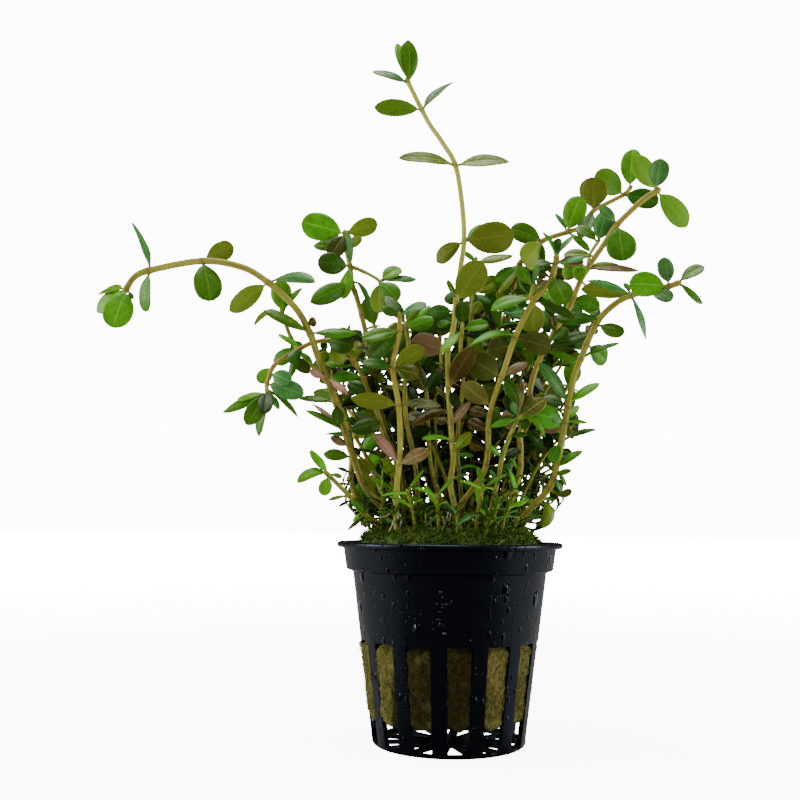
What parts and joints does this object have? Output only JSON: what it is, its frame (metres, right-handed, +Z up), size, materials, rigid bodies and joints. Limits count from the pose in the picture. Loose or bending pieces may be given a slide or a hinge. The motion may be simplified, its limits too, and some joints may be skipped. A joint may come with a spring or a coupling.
{
  "type": "potted aquarium plant",
  "caption": "Bunch of leafy stem-plant shoots rooted in a rock wool plug with moss on top, in a slotted black net pot that stands flat.",
  "frame": {"origin": "centre of the pot's flat floor, on the surface it stands on", "axes": "+Z up along the pot's axis; +X to the right and +Y away from the viewer in the pictured front view"},
  "size_m": [0.1456, 0.0678, 0.1731],
  "materials": {
    "pot_plastic": "black injection-moulded plastic, wet, with a satin sheen",
    "rockwool": "matted mineral fibre, olive with brown stains, damp",
    "moss": "dense damp moss, dull",
    "leaf_mid": "satin living leaf, mid green",
    "leaf_bright": "satin living leaf, bright green",
    "leaf_dark": "satin living leaf, dark green",
    "leaf_olive": "satin living leaf, olive with bronze"
  },
  "bodies": {
    "root": {"net_pot": "pot_plastic", "rockwool_plug": "rockwool", "moss_layer": "moss", "arching_shoot_left": "leaf_mid", "drooping_shoot_left": "leaf_bright", "rear_shoot_left": "leaf_dark", "low_shoot_left": "leaf_olive", "crown_shoot_left": "leaf_mid", "crown_branch_left": "leaf_bright", "front_shoot_left": "leaf_dark", "middle_shoot_left": "leaf_olive", "small_shoot": "leaf_mid", "tall_shoot": "leaf_bright", "middle_shoot_rear": "leaf_dark", "small_shoot_front": "leaf_olive", "crown_shoot_right": "leaf_mid", "front_shoot_right": "leaf_bright", "front_branch_right": "leaf_dark", "high_branch_right": "leaf_olive", "tall_shoot_right": "leaf_mid", "arching_shoot_right": "leaf_bright", "inner_shoot_right": "leaf_dark", "low_shoot_right": "leaf_olive", "rear_shoot_1": "leaf_mid", "rear_shoot_2": "leaf_bright", "rear_shoot_3": "leaf_dark", "rear_shoot_4": "leaf_olive", "rear_shoot_5": "leaf_mid", "rear_shoot_6": "leaf_bright", "rear_shoot_7": "leaf_dark", "rear_shoot_8": "leaf_olive", "rear_shoot_9": "leaf_mid", "rear_shoot_10": "leaf_bright", "sprig_1": "leaf_dark", "sprig_2": "leaf_olive", "sprig_3": "leaf_mid", "sprig_4": "leaf_bright", "sprig_5": "leaf_dark", "sprig_6": "leaf_olive", "sprig_7": "leaf_mid"}
  },
  "joints": []
}
